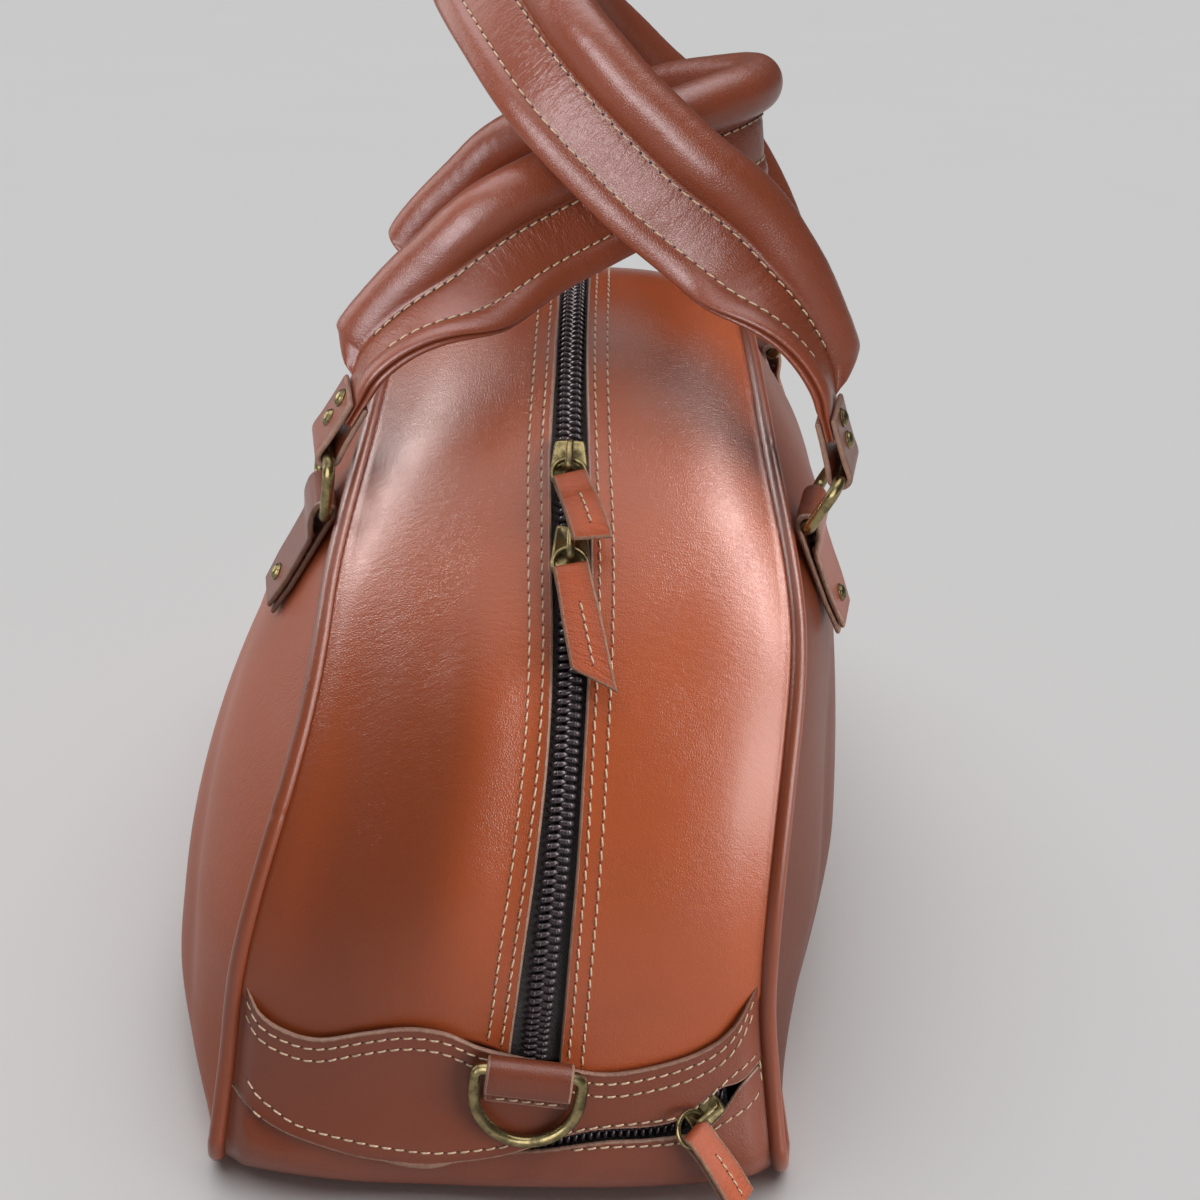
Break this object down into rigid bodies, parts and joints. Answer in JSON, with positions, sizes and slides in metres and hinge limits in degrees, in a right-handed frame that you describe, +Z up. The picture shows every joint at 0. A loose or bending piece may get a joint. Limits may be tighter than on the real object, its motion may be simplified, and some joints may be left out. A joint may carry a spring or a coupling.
{
  "type": "leather bowler bag",
  "caption": "Domed leather bowler bag with piped seams, a zip over the top, two rolled handles on brass rings, end boots with D-rings and a zipped end pocket.",
  "frame": {"origin": "middle of the flat base, at the height of its underside", "axes": "+X along the bag to the end with the pocket, +Y across from the front panel to the back panel, +Z up"},
  "size_m": [0.4186, 0.2516, 0.3814],
  "materials": {
    "leather": "waxed, semi-gloss, fine grain",
    "handle_leather": "waxed, satin",
    "antique_brass": "aged, satin",
    "zip_tape": "woven, matte"
  },
  "bodies": {
    "bag": {"front_panel": "leather", "back_panel": "leather", "gusset_front": "leather", "gusset_back": "leather", "base_strip": "leather", "boot_near": "leather", "piping_front": "leather", "piping_back": "leather", "zip_pull_upper": "leather", "zip_pull_lower": "leather", "zip_pull_pocket": "leather", "d_ring_tab_near": "leather", "d_ring_tab_far": "leather", "anchor_front_near": "leather", "anchor_front_far": "leather", "anchor_back_near": "leather", "anchor_back_far": "leather", "handle_front": "handle_leather", "handle_back": "handle_leather", "strap_end_front_near": "handle_leather", "strap_end_front_far": "handle_leather", "strap_end_back_near": "handle_leather", "strap_end_back_far": "handle_leather", "zip_slider_upper": "antique_brass", "zip_slider_lower": "antique_brass", "pocket_slider": "antique_brass", "pull_ring_upper": "antique_brass", "pull_ring_lower": "antique_brass", "pull_ring_pocket": "antique_brass", "handle_ring_front_near": "antique_brass", "handle_ring_front_far": "antique_brass", "handle_ring_back_near": "antique_brass", "handle_ring_back_far": "antique_brass", "anchor_rivet_front_near": "antique_brass", "anchor_rivet_front_far": "antique_brass", "anchor_rivet_back_near": "antique_brass", "anchor_rivet_back_far": "antique_brass", "rivet_low_front_near": "antique_brass", "rivet_low_front_far": "antique_brass", "rivet_low_back_near": "antique_brass", "rivet_low_back_far": "antique_brass", "rivet_high_front_near": "antique_brass", "rivet_high_front_far": "antique_brass", "rivet_high_back_near": "antique_brass", "rivet_high_back_far": "antique_brass", "zip_main": "zip_tape", "zip_pocket": "zip_tape"},
    "d_ring_near": {"d_ring_near": "antique_brass"},
    "d_ring_far": {"d_ring_far": "antique_brass"}
  },
  "joints": [
    {"name": "d_ring_near_swing", "type": "hinge", "parent": "bag", "child": "d_ring_near", "pos_m": [0.19947, 0, 0.0595], "axis": [-0.0258, -0.9945, 0.1016], "range_deg": [0, 160]},
    {"name": "d_ring_far_swing", "type": "hinge", "parent": "bag", "child": "d_ring_far", "pos_m": [-0.19947, 0, 0.0595], "axis": [0, 1, 0], "range_deg": [0, 160]}
  ]
}
